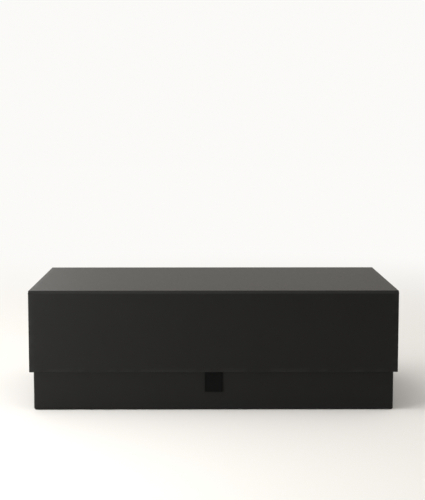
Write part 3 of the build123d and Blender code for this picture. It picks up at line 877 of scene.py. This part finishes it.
def ribbon_line(tail_y, loop_back, heights, t):
    """Middle line of the folded band in YZ, from the heights of its top, of the flap's edge and of its foot: each
    side runs straight down its tail, eases out to the loop as d squared times (3 - 2 d), and the two sides meet in
    a half turn."""
    top, edge, foot = heights
    foot_y = tail_y - RIBBON_FORWARD
    radius = min(loop_back - foot_y - t / 2, RIBBON_LOOP)
    foot_z = foot + radius + t / 2
    down = np.linspace(0, 1, 14)
    ease = down ** 2 * (3 - 2 * down)
    tail_z = np.linspace(top, edge, 6)[:-1]
    sides = []
    for side in (-1, 1):
        y = tail_y + side * t / 2
        tail = np.stack([np.full(5, y), tail_z], -1)
        sides.append(np.concatenate([tail, np.stack([y + (foot_y + side * radius - y) * ease,
                                                     edge + (foot_z - edge) * down], -1)]))
    turn = np.linspace(np.pi, 2 * np.pi, 11)[1:-1]
    fold = np.stack([foot_y + radius * np.cos(turn), foot_z + radius * np.sin(turn)], -1)
    return np.concatenate([sides[0], fold, sides[1][::-1]])


def weave_uv(piece, line, length):
    """UV in metres: u across the ribbon, v along its own length, from the nearest point of its centreline."""
    mesh = piece.data
    layer = mesh.uv_layers.new(name="weave")
    co = np.zeros(len(mesh.vertices) * 3)
    mesh.vertices.foreach_get("co", co)
    co = co.reshape(-1, 3)
    nearest = np.argmin(((co[:, None, 1:] - line[None]) ** 2).sum(-1), axis=1)
    corner = np.zeros(len(mesh.loops), int)
    mesh.loops.foreach_get("vertex_index", corner)
    uv = np.stack([co[corner, 0], length[nearest[corner]]], -1)
    layer.data.foreach_set("uv", uv.reshape(-1))


class GIFTBOX_OT_foam_cradle(bpy.types.Operator):
    """Makes the laminated foam cradle: a base sheet, two punched sheets and a flocked face"""
    bl_idname = "giftbox.foam_cradle"
    bl_label = "Foam cradle"

    def execute(self, context):
        sizes, colours = context.scene.gift_box_sizes, context.scene.gift_box_colours
        bay = context.scene.gift_box_bays
        foam, flock = foam_material(colours.foam), flock_material(colours.flock)
        lo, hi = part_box("cradle_base_foam")
        outer = np.array([(lo.x, lo.y), (hi.x, lo.y), (hi.x, hi.y), (lo.x, hi.y)])
        half_body = bay.bay_body / 2 + bay.bay_play
        offset = half_body + (hi.y - lo.y - 4 * half_body) / 6      # the two bays leave three equal walls
        middle = (0, (lo.y + hi.y) / 2)
        for node, with_neck, rounding, material, slot in (
                ("cradle_base_foam", None, sizes.foam_round, foam, "cradle_foam"),
                ("cradle_body_foam", False, sizes.foam_round, foam, "cradle_foam"),
                ("cradle_neck_foam", True, sizes.foam_round, foam, "cradle_foam"),
                ("cradle_face_sheet", True, FACE_ROUND, flock, "cradle_face")):
            holes = [] if with_neck is None else [cradle_hole(bay, offset, with_neck) + middle]
            piece = punched_sheet(node + "_soft", outer, holes, low(node, Z), high(node, Z), rounding, material)
            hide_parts(node)
            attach(piece, "root")
        return {"FINISHED"}


class GIFTBOX_OT_finishes(bpy.types.Operator):
    """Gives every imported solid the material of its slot"""
    bl_idname = "giftbox.finishes"
    bl_label = "Boards and linings"

    def execute(self, context):
        colours = context.scene.gift_box_colours
        lining = paper_material("uncoated_lining_paper", colours.lining, roughness=0.62, tooth=0.35)
        finishes = {
            "wrap_paper": bpy.data.materials["matte_laminated_paper"],
            "lining_paper": lining,
            "base_paper": lining,
            "greyboard": greyboard_material(colours.board),
            "gummed_tape": tape_material(colours.tape),
            "magnet": nickel_material(colours.nickel),
            "cradle_foam": bpy.data.materials["closed_cell_foam"],
            "cradle_face": bpy.data.materials["flocked_sheet"],
            "ribbon": bpy.data.materials["woven_ribbon"],
        }
        for part in frame["record"]["subparts"]:
            mesh = frame["nodes"][part["node"]].data
            mesh.materials.clear()
            mesh.materials.append(finishes[part["material_slot"]])
        return {"FINISHED"}


class GIFTBOX_PT_panel(bpy.types.Panel):
    """Lists the pieces in the sidebar"""
    bl_idname = "GIFTBOX_PT_panel"
    bl_label = "Gift box"
    bl_space_type = "VIEW_3D"
    bl_region_type = "UI"
    bl_category = "Gift box"

    def draw(self, context):
        scene = context.scene
        for group in (scene.gift_box_sizes, scene.gift_box_bays, scene.gift_box_colours):
            for key in group.__annotations__:
                self.layout.prop(group, key)
        for operator in OPERATORS:
            self.layout.operator(operator.bl_idname)


OPERATORS = (GIFTBOX_OT_stage, GIFTBOX_OT_case_papers, GIFTBOX_OT_tray_paper, GIFTBOX_OT_paper_hinges,
             GIFTBOX_OT_ribbon_tab, GIFTBOX_OT_foam_cradle, GIFTBOX_OT_finishes)
CLASSES = (GiftBoxSizes, GiftBoxBays, GiftBoxColours) + OPERATORS + (GIFTBOX_PT_panel,)


def register():
    """Registers the classes and hangs the three property groups on the scene."""
    for each in CLASSES:
        bpy.utils.register_class(each)
    bpy.types.Scene.gift_box_sizes = PointerProperty(type=GiftBoxSizes)
    bpy.types.Scene.gift_box_bays = PointerProperty(type=GiftBoxBays)
    bpy.types.Scene.gift_box_colours = PointerProperty(type=GiftBoxColours)


def unregister():
    """Takes them away again."""
    del bpy.types.Scene.gift_box_sizes
    del bpy.types.Scene.gift_box_bays
    del bpy.types.Scene.gift_box_colours
    for each in reversed(CLASSES):
        bpy.utils.unregister_class(each)


def main():
    """Builds the scene piece by piece."""
    register()
    bpy.ops.giftbox.stage()
    bpy.ops.giftbox.case_papers()
    bpy.ops.giftbox.tray_paper()
    bpy.ops.giftbox.paper_hinges()
    bpy.ops.giftbox.ribbon_tab()
    bpy.ops.giftbox.foam_cradle()
    bpy.ops.giftbox.finishes()


if __name__ == "__main__":
    main()
